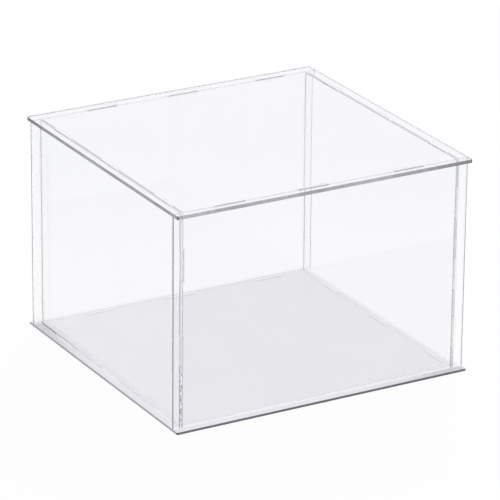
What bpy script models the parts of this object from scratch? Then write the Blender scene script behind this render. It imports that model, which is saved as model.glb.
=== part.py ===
"""Clear display case, cut from six flat acrylic sheets that lock together with tabs and slots.

The base lies on the table, four walls stand in its slots, and the top sits on the walls' upper
tabs. The front and back walls run the full width of the plates, and the side walls stand between
them, with tabs that come out through slots in the front and back walls.

Metres, +Z up. The origin is under the middle of the base, -Y is the front.
"""
import bpy
import bmesh
from math import radians

# Clear space inside
inner_width = 0.250         # between the side walls, along X
inner_depth = 0.240         # between the front and back walls, along Y
inner_height = 0.180        # from the base up to the top

# Sheets
wall_thickness = 0.003
top_thickness = 0.003
base_thickness = 0.002
overhang = 0.007            # plates past the walls' outer faces, and wall ends past the side walls

# Joints between the sheets
tab_length = 0.027
fit_gap = 0.0003            # round each tab, and where one sheet's edge meets another's face
tab_recess = 0.0002         # how far a tab stops short of the face that it comes out of
weld_distance = 0.000001

# Middles of the tabs, as shares of the clear width, depth or height
front_top_shares = (0.160, 0.463, 0.816)
front_bottom_shares = (0.136, 0.468, 0.835)
back_top_shares = (0.220, 0.524, 0.862)
back_bottom_shares = (0.220, 0.524, 0.862)
left_top_shares = (0.117, 0.488, 0.833)
left_bottom_shares = (0.117, 0.488, 0.833)
right_top_shares = (0.113, 0.479, 0.821)
right_bottom_shares = (0.113, 0.479, 0.821)
left_front_shares = (0.367, 0.767)
left_back_shares = (0.183, 0.500, 0.822)
right_front_shares = (0.167, 0.456, 0.800)
right_back_shares = (0.367, 0.767)

# Worked out from the sizes above
plate_width = inner_width + 2 * (wall_thickness + overhang)
plate_depth = inner_depth + 2 * (wall_thickness + overhang)
floor_z = base_thickness
ceiling_z = floor_z + inner_height
wall_bottom = floor_z + fit_gap
wall_top = ceiling_z - fit_gap
front_y = -(inner_depth + wall_thickness) / 2       # middle of the front wall's thickness
back_y = -front_y
left_x = -(inner_width + wall_thickness) / 2        # middle of the left wall's thickness
right_x = -left_x
top_reach = fit_gap + top_thickness - tab_recess    # tabs up through the top
base_reach = fit_gap + base_thickness - tab_recess  # tabs down through the base
side_reach = fit_gap + wall_thickness - tab_recess  # tabs out through the front and back walls


def along(shares, length, start):
    """Middles of the tabs on an edge, from their shares of its clear length."""
    return [start + share * length for share in shares]


def across_width(shares):
    return along(shares, inner_width, -inner_width / 2)


def across_depth(shares):
    return along(shares, inner_depth, -inner_depth / 2)


def up_height(shares):
    return along(shares, inner_height, floor_z)


def tabbed_outline(left, right, bottom, top, tabs):
    """A rectangle's outline, anticlockwise, with tabs standing out of its edges.

    tabs gives, for an edge, the middles of its tabs and how far they reach out.
    """
    half = tab_length / 2
    points = [(left, bottom)]
    middles, reach = tabs.get("bottom", ((), 0))
    for u in middles:
        points += [(u - half, bottom), (u - half, bottom - reach),
                   (u + half, bottom - reach), (u + half, bottom)]
    points.append((right, bottom))
    middles, reach = tabs.get("right", ((), 0))
    for v in middles:
        points += [(right, v - half), (right + reach, v - half),
                   (right + reach, v + half), (right, v + half)]
    points.append((right, top))
    middles, reach = tabs.get("top", ((), 0))
    for u in reversed(middles):
        points += [(u + half, top), (u + half, top + reach),
                   (u - half, top + reach), (u - half, top)]
    points.append((left, top))
    middles, reach = tabs.get("left", ((), 0))
    for v in reversed(middles):
        points += [(left, v + half), (left - reach, v + half),
                   (left - reach, v - half), (left, v - half)]
    return points


def slot_outline(u, v, upright):
    """The hole that one tab goes through, with the fit gap all round it."""
    half_length = tab_length / 2 + fit_gap
    half_width = wall_thickness / 2 + fit_gap
    half_u, half_v = (half_width, half_length) if upright else (half_length, half_width)
    return [(u - half_u, v - half_v), (u + half_u, v - half_v),
            (u + half_u, v + half_v), (u - half_u, v + half_v)]


def plate_slots(front, back, left, right):
    """The slots of the base or the top, for the tabs on one edge of the four walls."""
    slots = [slot_outline(x, front_y, False) for x in across_width(front)]
    slots += [slot_outline(x, back_y, False) for x in across_width(back)]
    slots += [slot_outline(left_x, y, True) for y in across_depth(left)]
    slots += [slot_outline(right_x, y, True) for y in across_depth(right)]
    return slots


def clear_acrylic(name, tint):
    """Clear acrylic with a faint tint of its own for each sheet."""
    material = bpy.data.materials.new(name)
    material.use_nodes = True
    shader = material.node_tree.nodes["Principled BSDF"]
    shader.inputs["Base Color"].default_value = (*tint, 1.0)
    shader.inputs["Roughness"].default_value = 0.05
    shader.inputs["Metallic"].default_value = 0.0
    shader.inputs["IOR"].default_value = 1.49
    shader.inputs["Transmission Weight"].default_value = 0.9
    return material


def cut_sheet(name, outline, slots, thickness, tint):
    """A flat sheet cut to an outline, with slots through it, centred on its own XY plane."""
    curve = bpy.data.curves.new(name, "CURVE")
    curve.dimensions = "2D"
    curve.fill_mode = "BOTH"
    curve.extrude = thickness / 2
    for points in [outline] + slots:
        spline = curve.splines.new("POLY")
        spline.points.add(len(points) - 1)
        for point, (u, v) in zip(spline.points, points):
            point.co = (u, v, 0, 1)
        spline.use_cyclic_u = True
    flat = bpy.data.objects.new(name + "_outline", curve)
    case_parts.objects.link(flat)
    bpy.context.view_layer.update()
    mesh = bpy.data.meshes.new_from_object(flat.evaluated_get(bpy.context.evaluated_depsgraph_get()))
    bpy.data.objects.remove(flat)
    body = bmesh.new()
    body.from_mesh(mesh)
    bmesh.ops.remove_doubles(body, verts=body.verts, dist=weld_distance)
    bmesh.ops.recalc_face_normals(body, faces=body.faces)
    body.to_mesh(mesh)
    body.free()
    mesh.name = name
    mesh.materials.clear()
    mesh.materials.append(clear_acrylic(name + "_acrylic", tint))
    sheet = bpy.data.objects.new(name, mesh)
    case_parts.objects.link(sheet)
    return sheet


def stand(sheet, x, y, turn):
    """Stands a sheet up, with its outline's v axis along +Z, and turns it about Z."""
    sheet.rotation_euler = (radians(90), 0, radians(turn))
    sheet.location = (x, y, 0)


def add_base_panel():
    outline = tabbed_outline(-plate_width / 2, plate_width / 2, -plate_depth / 2, plate_depth / 2, {})
    slots = plate_slots(front_bottom_shares, back_bottom_shares, left_bottom_shares, right_bottom_shares)
    sheet = cut_sheet("base_panel", outline, slots, base_thickness, (0.80, 0.80, 0.84))
    sheet.location = (0, 0, base_thickness / 2)
    return sheet


def add_top_panel():
    outline = tabbed_outline(-plate_width / 2, plate_width / 2, -plate_depth / 2, plate_depth / 2, {})
    slots = plate_slots(front_top_shares, back_top_shares, left_top_shares, right_top_shares)
    sheet = cut_sheet("top_panel", outline, slots, top_thickness, (0.93, 0.94, 0.97))
    sheet.location = (0, 0, ceiling_z + top_thickness / 2)
    return sheet


def add_long_wall(name, y, top_shares, bottom_shares, left_side_shares, right_side_shares):
    """The front or back wall, as wide as the plates, with slots for the side walls' tabs."""
    tabs = {"top": (across_width(top_shares), top_reach),
            "bottom": (across_width(bottom_shares), base_reach)}
    outline = tabbed_outline(-plate_width / 2, plate_width / 2, wall_bottom, wall_top, tabs)
    slots = [slot_outline(left_x, z, True) for z in up_height(left_side_shares)]
    slots += [slot_outline(right_x, z, True) for z in up_height(right_side_shares)]
    sheet = cut_sheet(name, outline, slots, wall_thickness, (0.92, 0.93, 0.96))
    stand(sheet, 0, y, 0)
    return sheet


def add_side_wall(name, x, top_shares, bottom_shares, front_shares, back_shares):
    """The left or right wall, between the front and back walls, with tabs on all four edges."""
    tabs = {"top": (across_depth(top_shares), top_reach),
            "bottom": (across_depth(bottom_shares), base_reach),
            "left": (up_height(front_shares), side_reach),
            "right": (up_height(back_shares), side_reach)}
    half_length = inner_depth / 2 - fit_gap
    outline = tabbed_outline(-half_length, half_length, wall_bottom, wall_top, tabs)
    sheet = cut_sheet(name, outline, [], wall_thickness, (0.91, 0.92, 0.95))
    stand(sheet, x, 0, 90)
    return sheet


def add_empty(name, z, parent=None):
    """Marks where a lifting joint's axis runs."""
    empty = bpy.data.objects.new(name, None)
    case_parts.objects.link(empty)
    empty.parent = parent
    empty.location = (0, 0, z)
    return empty


for old in list(bpy.data.objects):
    bpy.data.objects.remove(old, do_unlink=True)
case_parts = bpy.data.collections.new("acrylic_display_case")
bpy.context.scene.collection.children.link(case_parts)

base_panel = add_base_panel()
front_wall = add_long_wall("front_wall", front_y, front_top_shares, front_bottom_shares,
                           left_front_shares, right_front_shares)
back_wall = add_long_wall("back_wall", back_y, back_top_shares, back_bottom_shares,
                          left_back_shares, right_back_shares)
left_wall = add_side_wall("left_wall", left_x, left_top_shares, left_bottom_shares,
                          left_front_shares, left_back_shares)
right_wall = add_side_wall("right_wall", right_x, right_top_shares, right_bottom_shares,
                           right_front_shares, right_back_shares)
top_panel = add_top_panel()

# The four walls lift off the base together, and the top lifts off the walls.
walls_lift = add_empty("walls_lift", floor_z)
top_lift = add_empty("top_lift", inner_height, walls_lift)
bpy.context.view_layer.update()
for sheet, carrier in ((front_wall, walls_lift), (back_wall, walls_lift), (left_wall, walls_lift),
                       (right_wall, walls_lift), (top_panel, top_lift)):
    sheet.parent = carrier
    sheet.matrix_parent_inverse = carrier.matrix_world.inverted()
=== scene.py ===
import bpy
import bmesh
from math import radians, sin, cos
from mathutils import Matrix, Vector


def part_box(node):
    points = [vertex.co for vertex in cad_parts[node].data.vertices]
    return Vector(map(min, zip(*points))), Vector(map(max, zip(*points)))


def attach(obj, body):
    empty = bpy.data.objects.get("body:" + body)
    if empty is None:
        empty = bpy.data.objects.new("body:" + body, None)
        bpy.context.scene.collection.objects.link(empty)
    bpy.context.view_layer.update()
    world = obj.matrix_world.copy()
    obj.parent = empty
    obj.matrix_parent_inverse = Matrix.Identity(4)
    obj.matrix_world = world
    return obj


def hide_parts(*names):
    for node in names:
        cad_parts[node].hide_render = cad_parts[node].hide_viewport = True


# Clear display case of six laser-cut acrylic sheets, empty, on a white floor.
# Every sheet is made from its CAD node, with broken edges and its own finish for each kind of cut.

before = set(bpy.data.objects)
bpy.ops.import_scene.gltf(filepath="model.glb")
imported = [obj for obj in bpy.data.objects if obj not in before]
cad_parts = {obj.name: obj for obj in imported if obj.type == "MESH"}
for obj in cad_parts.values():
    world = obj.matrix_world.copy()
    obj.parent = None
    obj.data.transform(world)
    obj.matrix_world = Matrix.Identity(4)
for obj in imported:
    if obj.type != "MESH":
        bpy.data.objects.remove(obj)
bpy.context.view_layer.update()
scene = bpy.context.scene
print("frame loaded")


# Camera

cameraView = {
    "azimuth": -29.772,      # degrees round the case from straight in front
    "elevation": 21.677,
    "roll": 0.547,
    "distance": 3.2915,      # metres from the foot of the case
    "aimRight": 0.00423,     # how far the line of sight passes beside and above the case's foot
    "aimUp": 0.08034,
    "lens": 285.06,
    "sensor": 36.0,
    "nearest": 0.05,
    "farthest": 50.0,
}


def addCamera(v):
    azimuth = radians(v["azimuth"])
    elevation = radians(v["elevation"])
    roll = radians(v["roll"])
    back = Vector((sin(azimuth) * cos(elevation), -cos(azimuth) * cos(elevation), sin(elevation)))
    level = Vector((cos(azimuth), sin(azimuth), 0))
    upright = back.cross(level)
    right = cos(roll) * level + sin(roll) * upright
    up = cos(roll) * upright - sin(roll) * level
    place = v["aimRight"] * right + v["aimUp"] * up + v["distance"] * back
    camera = bpy.data.objects.new("camera", bpy.data.cameras.new("camera"))
    camera.matrix_world = Matrix((
        (right.x, up.x, back.x, place.x),
        (right.y, up.y, back.y, place.y),
        (right.z, up.z, back.z, place.z),
        (0, 0, 0, 1)))
    camera.data.lens = v["lens"]
    camera.data.sensor_width = v["sensor"]
    camera.data.clip_start = v["nearest"]
    camera.data.clip_end = v["farthest"]
    scene.collection.objects.link(camera)
    scene.camera = camera


addCamera(cameraView)
print("camera set")


# Node helpers

white = (1, 1, 1)
bentRays = ("Is Glossy Ray", "Is Transmission Ray")
seenRays = ("Is Camera Ray",) + bentRays
litRays = ("Is Shadow Ray", "Is Diffuse Ray")


def newMaterial(name):
    material = bpy.data.materials.new(name)
    material.use_nodes = True
    material.node_tree.nodes.clear()
    return material, material.node_tree


def addNode(tree, kind, settings=None, values=None):
    node = tree.nodes.new(kind)
    for key, value in (settings or {}).items():
        setattr(node, key, value)
    for key, value in (values or {}).items():
        node.inputs[key].default_value = value
    return node


def feed(tree, value, node, socket):
    # the value is a number, a node for its first output, or a node with the name of an output
    if isinstance(value, (int, float)):
        node.inputs[socket].default_value = value
    else:
        source, output = value if isinstance(value, tuple) else (value, 0)
        tree.links.new(source.outputs[output], node.inputs[socket])


def addShader(tree, kind, colour, values=None):
    # the colour is three numbers, or a node
    shader = addNode(tree, kind, None, values)
    if isinstance(colour, tuple):
        shader.inputs["Color"].default_value = (*colour, 1)
    else:
        feed(tree, colour, shader, "Color")
    return shader


def blendShaders(tree, share, first, second):
    # the share is the second one's
    mix = addNode(tree, "ShaderNodeMixShader")
    for socket, value in enumerate((share, first, second)):
        feed(tree, value, mix, socket)
    return mix


def maths(tree, operation, first, second=0.0):
    node = addNode(tree, "ShaderNodeMath", {"operation": operation})
    for socket, value in enumerate((first, second)):
        feed(tree, value, node, socket)
    return node


def mapRange(tree, value, span, low, high, kind="LINEAR"):
    # low up to the start of the span, and from there evenly or smoothly to high at its end
    start, end = span
    ranged = addNode(tree, "ShaderNodeMapRange", {"interpolation_type": kind}, {
        "From Min": start, "From Max": end, "To Min": low, "To Max": high})
    feed(tree, value, ranged, "Value")
    return ranged


def anyOf(tree, path, kinds):
    # 1 for a ray of any of these kinds
    found = (path, kinds[0])
    for kind in kinds[1:]:
        found = maths(tree, "MAXIMUM", found, (path, kind))
    return found


def finishWith(tree, shader, kind="ShaderNodeOutputMaterial"):
    feed(tree, shader, addNode(tree, kind), 0)


# World

worldLight = {
    "strength": 0.30,        # what it gives to lit surfaces; seen itself, it is plain white
}


def addWorld(w):
    world = bpy.data.worlds.new("studio")
    scene.world = world
    world.use_nodes = True
    tree = world.node_tree
    tree.nodes.clear()
    path = addNode(tree, "ShaderNodeLightPath")
    light = addShader(tree, "ShaderNodeBackground", white, {"Strength": w["strength"]})
    seen = addShader(tree, "ShaderNodeBackground", white, {"Strength": 1.0})
    finishWith(tree, blendShaders(tree, anyOf(tree, path, seenRays), light, seen), "ShaderNodeOutputWorld")


addWorld(worldLight)


# Floor

floorLook = {
    "reach": 6.0,
    "drop": 0.0002,                     # keeps the floor clear of the base panel's underside
    "colour": (0.93, 0.93, 0.935),
    "plainWhite": 0.93,                 # share of plain white as the camera meets it, and the rest is lit
    "plainWhiteThrough": 0.97,          # the same for rays that the acrylic has bent or mirrored
    "farWhite": (0.955, 0.962, 0.982),  # that white well away from the case, past a bright pool round it
    "brightPool": (0.25, 0.50),         # where the pool starts to fade and ends, from the case's middle
}


def floorPaint(f):
    material, tree = newMaterial("floorPaint")
    path = addNode(tree, "ShaderNodeLightPath")
    paper = addShader(tree, "ShaderNodeBsdfDiffuse", f["colour"])
    plain = addShader(tree, "ShaderNodeEmission", white, {"Strength": 1.0})
    dimmer = addShader(tree, "ShaderNodeEmission", f["farWhite"], {"Strength": 1.0})
    where = addNode(tree, "ShaderNodeTexCoord")
    away = addNode(tree, "ShaderNodeVectorMath", {"operation": "LENGTH"})
    feed(tree, (where, "Object"), away, 0)
    fade = mapRange(tree, (away, "Value"), f["brightPool"], 0.0, 1.0)
    direct = blendShaders(tree, f["plainWhite"], paper, plain)
    through = blendShaders(tree, f["plainWhiteThrough"], paper, blendShaders(tree, fade, plain, dimmer))
    bounced = blendShaders(tree, anyOf(tree, path, bentRays), paper, through)
    finishWith(tree, blendShaders(tree, (path, "Is Camera Ray"), bounced, direct))
    return material


def addFloor(f):
    reach = f["reach"]
    z = -f["drop"]
    corners = [(-reach, -reach, z), (reach, -reach, z), (reach, reach, z), (-reach, reach, z)]
    mesh = bpy.data.meshes.new("floor")
    mesh.from_pydata(corners, [], [(0, 1, 2, 3)])
    mesh.materials.append(floorPaint(f))
    floor = bpy.data.objects.new("floor", mesh)
    scene.collection.objects.link(floor)


addFloor(floorLook)


# Lamps

lampAim = (0, 0, 0.05)
lamps = {
    "keyLamp": {"place": (3.4, 4.2, 4.6), "size": 2.8, "watts": 430},
    "topLamp": {"place": (-0.6, 0.4, 5.0), "size": 3.0, "watts": 18},
    "fillLamp": {"place": (-3.6, -5.0, 3.2), "size": 4.0, "watts": 130},
}


def addLamp(name, look):
    data = bpy.data.lights.new(name, "AREA")
    data.shape = "DISK"
    data.size = look["size"]
    data.energy = look["watts"]
    lamp = bpy.data.objects.new(name, data)
    lamp.location = look["place"]
    lamp.rotation_euler = (Vector(lampAim) - Vector(look["place"])).to_track_quat("-Z", "Y").to_euler()
    lamp.visible_camera = False
    lamp.visible_glossy = False
    lamp.visible_transmission = False
    scene.collection.objects.link(lamp)


for name, look in lamps.items():
    addLamp(name, look)
print("studio set")


# What all finishes share

acrylic = {
    "ior": 1.49,
    "lampTint": (0.90, 0.905, 0.92),     # what each surface passes of the lamps' light
    "deepRay": 8,                        # a ray that has met more surfaces than this goes straight on
    "blueJoint": 1.02,                   # how much more blue than red is in a joint's haze
    "blueWithin": 1.05,                  # the same for a cut's haze as seen from within
    "blueClear": 1.01,                   # the same for what a cut turns back or lets out
}
noises = {
    # changes per metre along each axis, how finely they break up, and a shift that sets some off from others
    "faceTint": {"scale": (14.0, 14.0, 14.0), "detail": 1.0, "shift": 7.7},
    "bedTint": {"scale": (14.0, 14.0, 14.0), "detail": 2.0, "shift": 7.7},
    "handMarks": {"scale": (22.0, 22.0, 22.0), "detail": 3.0, "shift": 1.3},
    "striations": {"scale": (900.0, 900.0, 900.0), "detail": 1.0, "shift": 2.3},
    "cutTone": {"scale": (14.0, 14.0, 14.0), "detail": 1.0, "shift": 5.9},
    "patches": {"scale": (900.0, 900.0, 300.0), "detail": 1.0, "shift": 4.4},
}
noiseLook = {
    "roughness": 0.55,
    "span": (0.3, 0.7),                  # nearly all of the noise lies in this range
    "shiftShares": (1.0, 0.7, 1.3),      # share of the shift along each axis
}
farSpans = {
    # where a tone starts to change and where the change is complete
    "rim": (0.205, 0.262),               # across the plate, towards its back left and front right corners, where the rims get painted shade
    "strip": (0.15, 0.262),              # the same on the strips of the base, for their painted shade
    "foot": (0.045, 0.085),              # painted shade along a side wall, towards its back end
}


def noiseTone(tree, kind, low, high, scale=None):
    # noise over the piece, from low to high
    n = noises[kind]
    where = addNode(tree, "ShaderNodeTexCoord")
    placed = addNode(tree, "ShaderNodeMapping", None, {
        "Scale": scale or n["scale"],
        "Location": [n["shift"] * share for share in noiseLook["shiftShares"]]})
    noise = addNode(tree, "ShaderNodeTexNoise", None, {
        "Scale": 1.0, "Detail": n["detail"], "Roughness": noiseLook["roughness"]})
    feed(tree, (where, "Object"), placed, 0)
    feed(tree, placed, noise, 0)
    return mapRange(tree, noise, noiseLook["span"], low, high)


def placeOn(tree, axis):
    # how far along this axis the surface lies, on its piece
    where = addNode(tree, "ShaderNodeTexCoord")
    parts = addNode(tree, "ShaderNodeSeparateXYZ")
    feed(tree, (where, "Object"), parts, 0)
    return parts, axis


def farEndShade(tree, low, span):
    # 1 along a rim, and low towards the plate's back left and front right corners: painted shade
    across = maths(tree, "ABSOLUTE", maths(tree, "SUBTRACT", placeOn(tree, "X"), placeOn(tree, "Y")))
    return mapRange(tree, across, span, 1.0, low, "SMOOTHSTEP")


def shaded(tree, colour, amount):
    # the colour made darker or lighter by the amount
    scaled = addNode(tree, "ShaderNodeVectorMath", {"operation": "SCALE"}, {0: colour})
    feed(tree, amount, scaled, "Scale")
    return scaled


def coolGrey(grey, blue):
    return (grey, grey, min(grey * blue, 1.0))


def hazeShader(tree, passes, colour):
    # dull haze that lights up and lets this share of its light on
    lit = addShader(tree, "ShaderNodeBsdfDiffuse", colour)
    litBehind = addShader(tree, "ShaderNodeBsdfTranslucent", colour)
    return blendShaders(tree, passes, lit, litBehind)


def mirroredShare(tree):
    return addNode(tree, "ShaderNodeFresnel", None, {"IOR": acrylic["ior"]})


def finishAcrylic(tree, shader):
    # lamps' light goes straight through, dimmed as by a clear sheet, and so does a ray caught in a sheet
    path = addNode(tree, "ShaderNodeLightPath")
    dimmed = addShader(tree, "ShaderNodeBsdfTransparent", acrylic["lampTint"])
    caught = addShader(tree, "ShaderNodeBsdfTransparent", white)
    deep = maths(tree, "GREATER_THAN", (path, "Ray Depth"), acrylic["deepRay"])
    kept = blendShaders(tree, deep, shader, caught)
    finishWith(tree, blendShaders(tree, anyOf(tree, path, litRays), kept, dimmed))


# Clear faces, which bend light

faces = {
    # tint of one surface, share that is clear and not milky, how far the tint wanders, and how rough
    # the marks of hands are
    "wallFace": {"tint": (0.982, 0.982, 0.991), "clear": 0.995, "wander": 0.006, "marks": 0.012},
    "topFace": {"tint": (0.970, 0.967, 0.989), "clear": 0.997, "wander": 0.006, "marks": 0.012},
}


def faceFinish(name, f):
    material, tree = newMaterial(name)
    tint = shaded(tree, f["tint"], noiseTone(tree, "faceTint", 1 - f["wander"], 1.0))
    shader = addNode(tree, "ShaderNodeBsdfPrincipled", None, {
        "IOR": acrylic["ior"], "Transmission Weight": f["clear"]})
    feed(tree, tint, shader, "Base Color")
    feed(tree, noiseTone(tree, "handMarks", 0.0, f["marks"]), shader, "Roughness")
    finishAcrylic(tree, shader)
    return material


finishes = {name: faceFinish(name, f) for name, f in faces.items()}
print("clear faces made")


# Faces of the base, which lies on the floor and shows it close below

beds = {
    # tint of what shows through, how far it wanders, share and colour of the milky grey, which is partly the
    # sheet's lilac tint and partly painted shade, shine and its roughness, and the painted shade towards the
    # base's back left and front right corners
    # inside the walls: the sheet's lilac tint, with painted shade of the case as a milky grey
    "baseFace": {"tint": (0.993, 0.986, 1.0), "wander": 0.008,
                 "milky": 0.12, "colour": (0.93, 0.925, 1.0), "shine": 0.25, "rough": 0.35},
    # the near strips' copy, with a darker tint and a grey milky share: painted shade of the case; the far
    # strips' copy below stays clear
    "baseStripNear": {"tint": (0.935, 0.935, 0.955), "wander": 0.008, "farEndShading": 0.86,
                      "milky": 0.08, "colour": (0.80, 0.80, 0.83), "shine": 0.8, "rough": 0.08},
    "baseStripFar": {"tint": (1.0, 1.0, 1.0), "wander": 0.008, "farEndShading": 0.98,
                     "milky": 0.0, "colour": (0.93, 0.93, 0.95), "shine": 0.8, "rough": 0.08},
}


def bedFinish(name, b):
    material, tree = newMaterial(name)
    tone = noiseTone(tree, "bedTint", 1 - b["wander"], 1.0)
    # painted shade towards the base's back left and front right corners
    if "farEndShading" in b:
        tone = maths(tree, "MULTIPLY", tone, farEndShade(tree, b["farEndShading"], farSpans["strip"]))
    opened = addShader(tree, "ShaderNodeBsdfTransparent", shaded(tree, b["tint"], tone))
    # milky grey: partly the sheet's own tint, partly painted shade
    shadedMilk = addShader(tree, "ShaderNodeBsdfDiffuse", shaded(tree, b["colour"], tone))
    shine = addShader(tree, "ShaderNodeBsdfGlossy", (b["shine"],) * 3, {"Roughness": b["rough"]})
    side = addNode(tree, "ShaderNodeNewGeometry")
    outside = maths(tree, "SUBTRACT", 1.0, (side, "Backfacing"))
    mirrored = maths(tree, "MULTIPLY", mirroredShare(tree), outside)
    finishAcrylic(tree, blendShaders(tree, mirrored, blendShaders(tree, b["milky"], opened, shadedMilk), shine))
    return material


finishes.update({name: bedFinish(name, b) for name, b in beds.items()})
print("base faces made")


# Surfaces where a tab lies close against its slot

plainJoint = {
    "shine": 0.02,        # share of the shine
    "rough": 0.15,        # its roughness
    "passes": 0.5,        # how much light the haze lets on
}
joints = {
    # what differs from a plain joint: tint of what shows through, share and tone of the haze outside and
    # from within, which on the slot lines is painted shade
    "jointBase": {"tint": (1.0, 1.0, 1.0), "outside": (0.0, 0.9), "within": (0.03, 0.45), "shine": 0.0},
    # the far walls' copy, slightly darker: painted shade
    "jointFar": {"tint": (0.975, 0.975, 0.98), "outside": (0.0, 0.9), "within": (0.03, 0.45), "shine": 0.0},
    "jointWall": {"tint": (0.99, 0.99, 0.995), "outside": (0.03, 0.8), "within": (0.03, 0.6)},
    "jointTop": {"tint": (0.99, 0.99, 0.995), "outside": (0.03, 0.8), "within": (0.03, 0.6)},
    "slotSide": {"tint": (0.99, 0.99, 0.995), "outside": (0.95, 0.97), "within": (0.04, 0.6)},
    # dark lines of painted shade on one side of each slot
    "slotLineTop": {"tint": (0.95, 0.95, 0.96), "outside": (0.95, 0.97), "within": (0.75, 0.25)},
    "slotLineWall": {"tint": (0.95, 0.95, 0.96), "outside": (0.95, 0.97), "within": (0.5, 0.35)},
    "slotLineBack": {"tint": (0.95, 0.95, 0.96), "outside": (0.7, 0.40), "within": (0.04, 0.6)},
}


def jointFinish(name, j):
    material, tree = newMaterial(name)
    opened = addShader(tree, "ShaderNodeBsdfTransparent", j["tint"])
    shine = addShader(tree, "ShaderNodeBsdfGlossy", white, {"Roughness": j["rough"]})
    hazedAndShaded = []
    for share, grey in (j["outside"], j["within"]):
        haze = hazeShader(tree, j["passes"], coolGrey(grey, acrylic["blueJoint"]))
        hazedAndShaded.append(blendShaders(tree, share, opened, haze))
    side = addNode(tree, "ShaderNodeNewGeometry")
    outside = blendShaders(tree, j["shine"], hazedAndShaded[0], shine)
    finishAcrylic(tree, blendShaders(tree, (side, "Backfacing"), outside, hazedAndShaded[1]))
    return material


finishes.update({name: jointFinish(name, {**plainJoint, **j}) for name, j in joints.items()})
print("joints made")


# Cuts: hazy from outside, and from within they turn light back as clear acrylic does; their greys are partly
# the cuts' haze and partly painted shade

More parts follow.
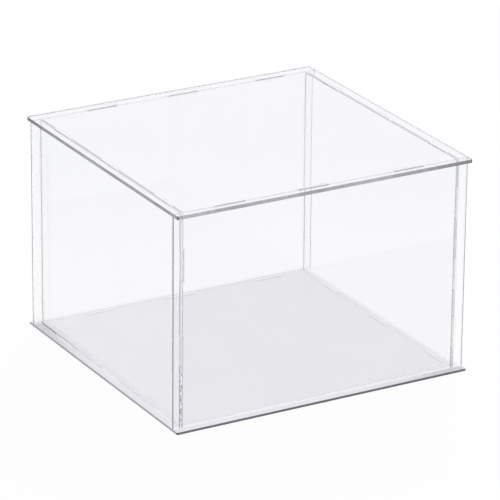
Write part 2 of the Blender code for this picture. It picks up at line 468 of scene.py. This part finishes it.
plainCut = {
    "passes": 0.5,        # how much light the haze lets on
    "rough": 0.2,         # roughness of the shine
    "grain": 1.0,         # how strong the striations are
}
cuts = {
    # what differs from a plain cut: colour of the haze, with its painted shade, and its share, tint of what
    # shows through the rest, and from within the sheet the tint, and share and tone of the haze, also with
    # painted shade. Some also have painted shade at the far ends of a rim or a foot, spots, how dark their
    # small marks are, and straight, where light from within goes on without a bend
    # the rims' greys are partly the cut's haze and partly painted shade: on the top the short rims darker
    # than the long ones, the corners darker still
    "topRimLong": {"colour": (0.46, 0.46, 0.49), "haze": 0.8, "open": (0.40, 0.40, 0.43), "rough": 0.25,
                   "within": (0.90, 0.35, 0.30), "farEndShading": 0.6},
    "topRimShort": {"colour": (0.37, 0.37, 0.40), "haze": 0.8, "open": (0.35, 0.35, 0.38), "rough": 0.25,
                    "within": (0.90, 0.30, 0.30), "farEndShading": 0.5},
    "topCorner": {"colour": (0.12, 0.12, 0.13), "haze": 0.8, "open": (0.12, 0.12, 0.13), "rough": 0.25,
                  "within": (0.90, 0.30, 0.20)},
    # on the base the long rims and the corners are near black with painted shade, and the short rims lighter
    "baseRimLong": {"colour": (0.13, 0.13, 0.145), "haze": 0.8, "open": (0.15, 0.15, 0.17), "rough": 0.3,
                    "within": (1.0, 0.0, 0.30), "straight": True},
    "baseRimShort": {"colour": (0.39, 0.39, 0.42), "haze": 0.8, "open": (0.29, 0.29, 0.32), "rough": 0.3,
                     "within": (1.0, 0.0, 0.30), "straight": True},
    "baseCorner": {"colour": (0.07, 0.07, 0.075), "haze": 0.8, "open": (0.10, 0.10, 0.11), "rough": 0.3,
                   "within": (1.0, 0.0, 0.30), "straight": True},
    "wallEnd": {"colour": (0.88, 0.88, 0.90), "haze": 0.15, "open": (0.97, 0.97, 0.98), "rough": 0.15,
                "within": (0.98, 0.20, 0.45)},
    # dark line of painted shade beside a wall end's outer edge
    "wallEndLine": {"colour": (0.06, 0.06, 0.065), "haze": 0.7, "open": (0.12, 0.12, 0.13), "rough": 0.3,
                    "within": (0.4, 0.95, 0.12)},
    "restEdge": {"colour": (0.90, 0.90, 0.92), "haze": 0.3, "open": (0.95, 0.95, 0.96),
                 "within": (1.0, 0.0, 0.9)},
    "farRest": {"colour": (0.90, 0.90, 0.92), "haze": 0.0, "open": (1.0, 1.0, 1.0),
                "within": (1.0, 0.0, 0.9), "straight": True},
    # the side walls' resting edges, greyer than the front and back walls' with painted shade
    "sideRest": {"colour": (0.68, 0.68, 0.70), "haze": 0.9, "open": (0.80, 0.80, 0.82),
                 "within": (0.98, 0.0, 0.5)},
    # the left wall's foot, with painted shade towards its back end
    "leftRest": {"colour": (0.68, 0.68, 0.70), "haze": 0.9, "open": (0.80, 0.80, 0.82),
                 "within": (0.98, 0.85, 0.80), "farFootShade": 0.25},
    "leftFoot": {"colour": (0.95, 0.95, 0.97), "haze": 0.0, "open": (0.97, 0.97, 0.98),
                 "within": (0.90, 0.0, 0.8), "farFootShade": 0.35, "straight": True},
    "innerEnd": {"colour": (0.94, 0.94, 0.96), "haze": 0.95, "open": (0.80, 0.80, 0.82),
                 "within": (0.90, 0.6, 0.30), "spots": 0.90, "grain": 0.4},
    # the right wall's front end, painted grey with shade
    "innerEndGrey": {"colour": (0.70, 0.70, 0.72), "haze": 0.95, "open": (0.70, 0.70, 0.72),
                     "within": (0.90, 0.6, 0.30), "spots": 0.3, "grain": 0.4},
    # dark line of painted shade beside a side wall end's inner edge
    "innerEndLine": {"colour": (0.30, 0.30, 0.32), "haze": 0.9, "open": (0.30, 0.30, 0.32), "rough": 0.3,
                     "within": (0.90, 0.6, 0.30)},
    "tabEnd": {"colour": (0.95, 0.95, 0.97), "haze": 1.0, "passes": 0.1, "open": (0.90, 0.90, 0.92),
               "within": (0.98, 0.0, 0.5), "grain": 0.4},
    # dark line of painted shade on the left wall's front tab ends
    "tabLine": {"colour": (0.30, 0.30, 0.32), "haze": 0.9, "open": (0.30, 0.30, 0.32), "rough": 0.3,
                "within": (0.90, 0.6, 0.30)},
    "tabFoot": {"colour": (0.95, 0.95, 0.97), "haze": 1.0, "passes": 0.1, "open": (0.90, 0.90, 0.92),
                "within": (0.94, 0.0, 0.5), "grain": 0.4, "straight": True},
    # the far walls' copy, darker: painted shade
    "farTabFoot": {"colour": (0.95, 0.95, 0.97), "haze": 0.5, "passes": 0.1, "open": (0.87, 0.87, 0.90),
                   "within": (0.87, 0.0, 0.5), "grain": 0.4, "straight": True},
    # dark and pale arrises: lines of painted shade along the edges
    "darkArris": {"colour": (0.06, 0.06, 0.065), "haze": 0.7, "open": (0.12, 0.12, 0.13), "rough": 0.3,
                  "within": (0.4, 0.9, 0.25)},
    "paleArris": {"colour": (0.35, 0.35, 0.37), "haze": 0.6, "open": (0.4, 0.4, 0.42), "rough": 0.3,
                  "within": (0.7, 0.0, 0.4)},
    "clearArris": {"colour": (0.90, 0.90, 0.92), "haze": 0.2, "open": (0.97, 0.97, 0.98),
                   "within": (1.0, 0.0, 0.9)},
}
cutGrain = {
    "through": 8.0,       # striations per metre through the sheet, so few that they cross a cut as lines
    "depth": 0.12,        # how far they change its tone
    "slowDepth": 0.08,    # how far the slow changes along a cut do
}
spotMarks = {
    "scale": (480.0, 480.0, 300.0),     # marks per metre along each axis
    "edge": (0.30, 0.50),               # where a mark starts to fade and ends, as shares of their spacing
    "heights": (0.035, 0.085),          # where the chain starts to fade and where it has faded
    "above": 0.1,                       # share of the darkness that is left above
    "weakest": 0.3,                     # share of the darkness that the weakest mark has
}


def spotTone(tree, depth):
    # a chain of small dark marks that fades out above the wall's foot
    m = spotMarks
    where = addNode(tree, "ShaderNodeTexCoord")
    placed = addNode(tree, "ShaderNodeMapping", None, {"Scale": m["scale"]})
    chain = addNode(tree, "ShaderNodeTexVoronoi", None, {"Scale": 1.0, "Randomness": 1.0})
    feed(tree, (where, "Object"), placed, 0)
    feed(tree, placed, chain, "Vector")
    marks = mapRange(tree, (chain, "Distance"), m["edge"], 1.0, 0.0)
    spots = maths(tree, "MULTIPLY", marks, noiseTone(tree, "patches", m["weakest"], 1.0))
    fade = mapRange(tree, placeOn(tree, "Z"), m["heights"], depth, m["above"] * depth)
    return maths(tree, "SUBTRACT", 1.0, maths(tree, "MULTIPLY", fade, spots))


def cutFinish(name, c, axis):
    # the axis runs through the sheet
    material, tree = newMaterial(name)
    scale = list(noises["striations"]["scale"])
    scale[axis] = cutGrain["through"]
    depth = cutGrain["depth"] * c["grain"]
    slowDepth = cutGrain["slowDepth"]
    striations = noiseTone(tree, "striations", 1 - depth, 1 + depth, scale)
    tone = maths(tree, "MULTIPLY", striations, noiseTone(tree, "cutTone", 1 - slowDepth, 1 + slowDepth))
    # painted shade towards the plate's back left and front right corners
    if "farEndShading" in c:
        tone = maths(tree, "MULTIPLY", tone, farEndShade(tree, c["farEndShading"], farSpans["rim"]))
    if "spots" in c:
        tone = maths(tree, "MULTIPLY", tone, spotTone(tree, c["spots"]))
    # painted shade along the left wall's foot, darker towards its back end
    if "farFootShade" in c:
        foot = mapRange(tree, placeOn(tree, "Y"), farSpans["foot"], 1.0, c["farFootShade"], "SMOOTHSTEP")
        tone = maths(tree, "MULTIPLY", tone, foot)
    haze = hazeShader(tree, c["passes"], shaded(tree, c["colour"], tone))
    opened = addShader(tree, "ShaderNodeBsdfTransparent", shaded(tree, c["open"], tone))
    shine = addShader(tree, "ShaderNodeBsdfGlossy", white, {"Roughness": c["rough"]})
    outside = blendShaders(tree, mirroredShare(tree), blendShaders(tree, c["haze"], opened, haze), shine)
    tint, hazeAndShadeWithin, grey = c["within"]
    if "straight" in c:
        within = addShader(tree, "ShaderNodeBsdfTransparent", (tint, tint, tint))
    else:
        within = addShader(tree, "ShaderNodeBsdfGlass", coolGrey(tint, acrylic["blueClear"]), {
            "Roughness": 0.0, "IOR": acrylic["ior"]})
    # the same painted shade on what goes through from within
    if "farFootShade" in c:
        feed(tree, shaded(tree, (tint, tint, tint), foot), within, "Color")
    if hazeAndShadeWithin:
        dullTone = shaded(tree, coolGrey(grey, acrylic["blueWithin"]), tone)
        dull = addShader(tree, "ShaderNodeBsdfDiffuse", dullTone)
        within = blendShaders(tree, hazeAndShadeWithin, within, dull)
    side = addNode(tree, "ShaderNodeNewGeometry")
    finishAcrylic(tree, blendShaders(tree, (side, "Backfacing"), outside, within))
    return material


# Sheets

sheets = {
    # CAD node: its body, the axis through its thickness, the finish of its faces, and its slot in the record
    "base_panel": {"body": "base", "axis": 2, "face": "baseFace", "slot": "base_acrylic"},
    "front_wall": {"body": "walls", "axis": 1, "face": "wallFace", "slot": "wall_acrylic"},
    "back_wall": {"body": "walls", "axis": 1, "face": "wallFace", "slot": "wall_acrylic"},
    "left_wall": {"body": "walls", "axis": 0, "face": "wallFace", "slot": "wall_acrylic"},
    "right_wall": {"body": "walls", "axis": 0, "face": "wallFace", "slot": "wall_acrylic"},
    "top_panel": {"body": "top", "axis": 2, "face": "topFace", "slot": "top_acrylic"},
}
sheetCut = {
    "cornerRound": 0.0012,       # corners of the base and the top
    "cornerSteps": 4,
    "fitGap": 0.0003,            # between a wall's edge and the sheet that it meets, as in the CAD
    "farReach": (0.0068, 0.0062),     # how far past the far walls' inner faces the base's painted shade ends and it turns clear; on the near sides it does so at the inner faces
                                      # near sides it does so at the inner faces
    "endLine": 0.00095,          # width of the dark line of painted shade on a wall end, beside its outer edge
    "rightLine": 0.0016,         # the same on the front wall's right end
    "innerLine": 0.00060,        # the same on a side wall's end, beside its inner edge
    "tabLines": (0.0009, 0.0013),     # from the inner face, where the front tabs' ends change their finish; on the left wall the band between is a dark line of painted shade
    "rimDepth": 0.002,           # a plate's rim and its rounded corners lie in this outer strip
    "slotStart": 0.001,          # slots start less than this inside the walls' inner faces
    "weld": 0.00001,             # the CAD's points closer than this become one
    "flatAngle": 1,              # degrees within which its triangles join into one surface
    "split": 0.000001,           # points closer than this to a line between two finishes lie on it
}
edgeBreaks = {
    # how much is off each sharp edge where a cut meets a face
    "topRim": 0.00040, "topRimBelow": 0.00020, "baseRim": 0.00015, "wallEnd": 0.00030,
    "rest": 0.00015, "innerEnd": 0.00034,
}
facing = {
    # share of a surface's normal that lies along an axis
    "square": 0.95,
    "mainly": 0.7,
    "partly": 0.3,
    "barely": 0.1,
}

# From the frame: the walls' inner faces, at plus and minus innerX and innerY, the side walls' ends at plus
# and minus sideY, and the walls' lower and upper edges, all without their tabs
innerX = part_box("right_wall")[0][0]
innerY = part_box("back_wall")[0][1]
sideY = innerY - sheetCut["fitGap"]
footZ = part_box("base_panel")[1][2] + sheetCut["fitGap"]
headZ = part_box("top_panel")[0][2] - sheetCut["fitGap"]
farX = innerX + sheetCut["farReach"][0]
farY = innerY + sheetCut["farReach"][1]
near = 0.0001        # places closer than this count as one
axes = (Vector((1, 0, 0)), Vector((0, 1, 0)), Vector((0, 0, 1)))
flats = set(faces) | set(beds)


def camelName(node):
    first, *rest = node.split("_")
    return first + "".join(word.capitalize() for word in rest)


def middleOf(edge):
    return (edge.verts[0].co + edge.verts[1].co) / 2


def plateKind(node, centre, normal, high):
    # kind of a surface of the base or the top
    if abs(normal.z) > facing["square"]:
        # the top's face, and the base's face inside the walls and a little past the far walls, where it
        # takes the milky grey with painted shade
        if node == "top_panel" or (-innerX < centre.x < farX and -innerY < centre.y < farY):
            return sheets[node]["face"]
        # the strips in front of the front wall and left of the left wall take the copy with painted shade
        shadedSide = centre.y < -innerY or (centre.x < -innerX and centre.y < farY)
        return "baseStripNear" if shadedSide else "baseStripFar"
    plate = "top" if node == "top_panel" else "base"
    for axis in (0, 1):
        atRim = abs(abs(centre[axis]) - high[axis]) < sheetCut["rimDepth"]
        if atRim and abs(normal[axis]) > facing["partly"]:
            # the corners and the two rim directions take separate copies, for their painted shade
            if min(abs(normal.x), abs(normal.y)) > facing["barely"]:
                return plate + "Corner"
            return plate + ("RimShort" if abs(normal.x) > facing["mainly"] else "RimLong")
    slotX = innerX - sheetCut["slotStart"]
    slotY = innerY - sheetCut["slotStart"]
    if plate == "base":
        return "jointFar" if centre.x > slotX or centre.y > slotY else "jointBase"
    # one side of each slot in the top gets a dark line of painted shade
    across = normal.x if abs(centre.x) > slotX else normal.y
    return "slotLineTop" if across > facing["mainly"] else "slotSide"


def longWallEnd(centre, normal, low, high):
    # kind of an upright cut of the front or back wall: its ends, and the sides of its slots; one side of
    # each slot and the outer edge of each end get dark lines of painted shade
    s = sheetCut
    front = high[1] < 0
    if abs(centre.x) < high[0] - near:
        if front:
            return "slotLineWall" if normal.x > facing["mainly"] else "jointWall"
        return "slotLineBack" if normal.x < -facing["mainly"] else "slotSide"
    outer = max(abs(low[1]), abs(high[1]))
    line = s["rightLine"] if front and centre.x > 0 else s["endLine"]
    return "wallEndLine" if abs(centre.y) > outer - line else "wallEnd"


def sideWallEnd(centre, high):
    # kind of an upright cut of the left or right wall: its ends, and the ends of its side tabs; the right
    # wall's front end is painted grey, and the other ends' inner edges and the left wall's front tabs get
    # dark lines, all painted shade
    s = sheetCut
    right = centre.x > 0
    depth = abs(centre.x) - innerX        # from the wall's inner face
    if abs(abs(centre.y) - sideY) < near:
        if right and centre.y < 0:
            return "innerEndGrey"
        return "innerEndLine" if depth < s["innerLine"] else "innerEnd"
    if abs(centre.y) <= high[1] - near:
        return "jointWall"
    inner, outer = s["tabLines"]
    if centre.y > 0:
        return "tabEnd"
    if right:
        return "tabEnd" if depth < outer else "jointWall"
    if depth < inner:
        return "jointWall"
    return "tabLine" if depth < outer else "tabEnd"


def wallKind(node, centre, normal, low, high):
    # kind of a surface of a wall
    axis = sheets[node]["axis"]
    far = high[axis] > 0
    head = centre.z > headZ - near
    inTop = centre.z > headZ + near
    inBase = centre.z < footZ - near
    inWall = axis == 0 and abs(centre.y) > sideY + near
    joint = "jointTop" if inTop else "jointWall"
    # the far walls' tabs in the base take darker copies: painted shade
    if inBase:
        joint = "jointFar" if far else "jointBase"
    if abs(normal[axis]) > facing["square"]:
        if node == "left_wall" and inBase and normal.x > 0:
            return "leftFoot"
        return joint if inTop or inBase or inWall else sheets[node]["face"]
    if abs(normal.z) > facing["square"]:
        if inTop:
            return "tabEnd"
        if inBase:
            return "farTabFoot" if far else "tabFoot"
        if head or centre.z < footZ + near:
            if far and not head:
                return "farRest"
            if axis == 1:
                return "restEdge"
            return "sideRest" if head else "leftRest"
        rightSlot = node == "front_wall" and centre.x > 0
        return "slotSide" if axis == 1 and not rightSlot else joint
    if inTop or inBase:
        return joint
    return longWallEnd(centre, normal, low, high) if axis == 1 else sideWallEnd(centre, high)


def edgeBreak(kind, middle, high):
    # width and finish of the broken edge where a cut of this kind meets a face, or None if it stays sharp;
    # the dark and pale arrises are lines of painted shade, and only the edges that show dark take the dark
    # one
    if kind.startswith("topRim"):
        return edgeBreaks["topRim" if middle.z > high[2] - near else "topRimBelow"], "darkArris"
    if kind.startswith("baseRim"):
        return edgeBreaks["baseRim"], "darkArris"
    if kind.startswith("wallEnd"):
        return edgeBreaks["wallEnd"], "darkArris" if kind == "wallEndLine" else "clearArris"
    if kind == "innerEndGrey":
        return edgeBreaks["innerEnd"], "paleArris"
    if kind.startswith("innerEnd"):
        inside = abs(abs(middle.x) - innerX) < near
        shows = middle.y < 0 or inside == (middle.x > 0)
        return edgeBreaks["innerEnd"], "darkArris" if shows else "clearArris"
    if kind == "restEdge":
        return edgeBreaks["rest"], "clearArris"
    if kind in ("sideRest", "leftRest"):
        return edgeBreaks["rest"], "paleArris"
    return None


def splitFaces(cut, node, low, high):
    # parts the base's inner face from its strips, a wall's faces from its tabs' faces, and the lines on the
    # walls' and the tabs' ends from the rest of those ends
    s = sheetCut
    axis = sheets[node]["axis"]
    lines = []        # axis that each runs across, and its place along it
    if node == "base_panel":
        lines = [(0, farX), (0, -innerX), (1, farY), (1, -innerY)]
    if axis < 2:
        lines = [(2, footZ), (2, headZ)]
    if node == "front_wall":
        lines += [(1, low[1] + s["endLine"]), (1, low[1] + s["rightLine"])]
    if node == "back_wall":
        lines += [(1, high[1] - s["endLine"])]
    if axis == 0:
        side = 1 if high[0] > 0 else -1
        lines += [(1, sideY), (1, -sideY)]
        lines += [(0, side * (innerX + width)) for width in (s["innerLine"], *s["tabLines"])]
    for across, place in lines:
        geometry = cut.verts[:] + cut.edges[:] + cut.faces[:]
        bmesh.ops.bisect_plane(cut, geom=geometry, dist=s["split"], plane_co=place * axes[across],
                               plane_no=axes[across])


def roundCorners(cut, high):
    corners = []
    for edge in cut.edges:
        if all(abs(abs(middleOf(edge)[axis]) - high[axis]) < near for axis in (0, 1)):
            corners.append(edge)
    bmesh.ops.bevel(cut, geom=corners, offset=sheetCut["cornerRound"], offset_type="OFFSET",
                    segments=sheetCut["cornerSteps"], profile=0.5, affect="EDGES", clamp_overlap=True)


def markKinds(cut, node, low, high):
    # gives each surface the number of its kind, and lists the kinds
    kinds = []
    for face in cut.faces:
        centre = face.calc_center_median()
        if sheets[node]["axis"] == 2:
            kind = plateKind(node, centre, face.normal, high)
        else:
            kind = wallKind(node, centre, face.normal, low, high)
        if kind not in kinds:
            kinds.append(kind)
        face.material_index = kinds.index(kind)
    return kinds


def breakEdges(cut, kinds, high):
    # bevels the edges between cuts and faces, and adds the bevels' own kinds
    breaks = {}
    for edge in cut.edges:
        touching = {kinds[face.material_index] for face in edge.link_faces}
        if len(touching) == 2 and touching & flats and touching - flats:
            found = edgeBreak((touching - flats).pop(), middleOf(edge), high)
            if found:
                breaks.setdefault(found, []).append(edge)
    for (width, arris), sharp in breaks.items():
        if arris not in kinds:
            kinds.append(arris)
        sharp = [edge for edge in sharp if edge.is_valid]
        bmesh.ops.bevel(cut, geom=sharp, offset=width, offset_type="OFFSET", segments=1, profile=0.5,
                        affect="EDGES", clamp_overlap=True, material=kinds.index(arris))


def addFinishes(mesh, kinds, axis):
    # striations run through the sheet, so a kind of cut has one finish for each axis that it is used with
    for kind in kinds:
        name = kind if kind in finishes else kind + "XYZ"[axis]
        if name not in finishes:
            finishes[name] = cutFinish(name, {**plainCut, **cuts[kind]}, axis)
        mesh.materials.append(finishes[name])


def addSheet(node, body, axis):
    low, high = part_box(node)
    mesh = bpy.data.meshes.new(camelName(node))
    cut = bmesh.new()
    cut.from_mesh(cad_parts[node].data)
    bmesh.ops.remove_doubles(cut, verts=cut.verts, dist=sheetCut["weld"])
    bmesh.ops.dissolve_limit(cut, angle_limit=radians(sheetCut["flatAngle"]),
                             verts=cut.verts, edges=cut.edges)
    if axis == 2:
        roundCorners(cut, high)
    splitFaces(cut, node, low, high)
    kinds = markKinds(cut, node, low, high)
    breakEdges(cut, kinds, high)
    cut.to_mesh(mesh)
    cut.free()
    addFinishes(mesh, kinds, axis)
    sheet = bpy.data.objects.new(camelName(node), mesh)
    scene.collection.objects.link(sheet)
    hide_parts(node)
    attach(sheet, body)
    print(node, "made,", len(mesh.polygons), "surfaces of", len(kinds), "kinds")


for node, s in sheets.items():
    addSheet(node, s["body"], s["axis"])
print("sheets made")


# Render settings

lightSteps = {
    # how many surfaces light may meet
    "all": 24,
    "bent": 24,
    "mirrored": 16,
    "straight": 40,      # these let it through without a bend, and come on top of the others
}

scene.view_settings.view_transform = "Standard"
scene.cycles.max_bounces = lightSteps["all"]
scene.cycles.transmission_bounces = lightSteps["bent"]
scene.cycles.glossy_bounces = lightSteps["mirrored"]
scene.cycles.transparent_max_bounces = lightSteps["straight"]
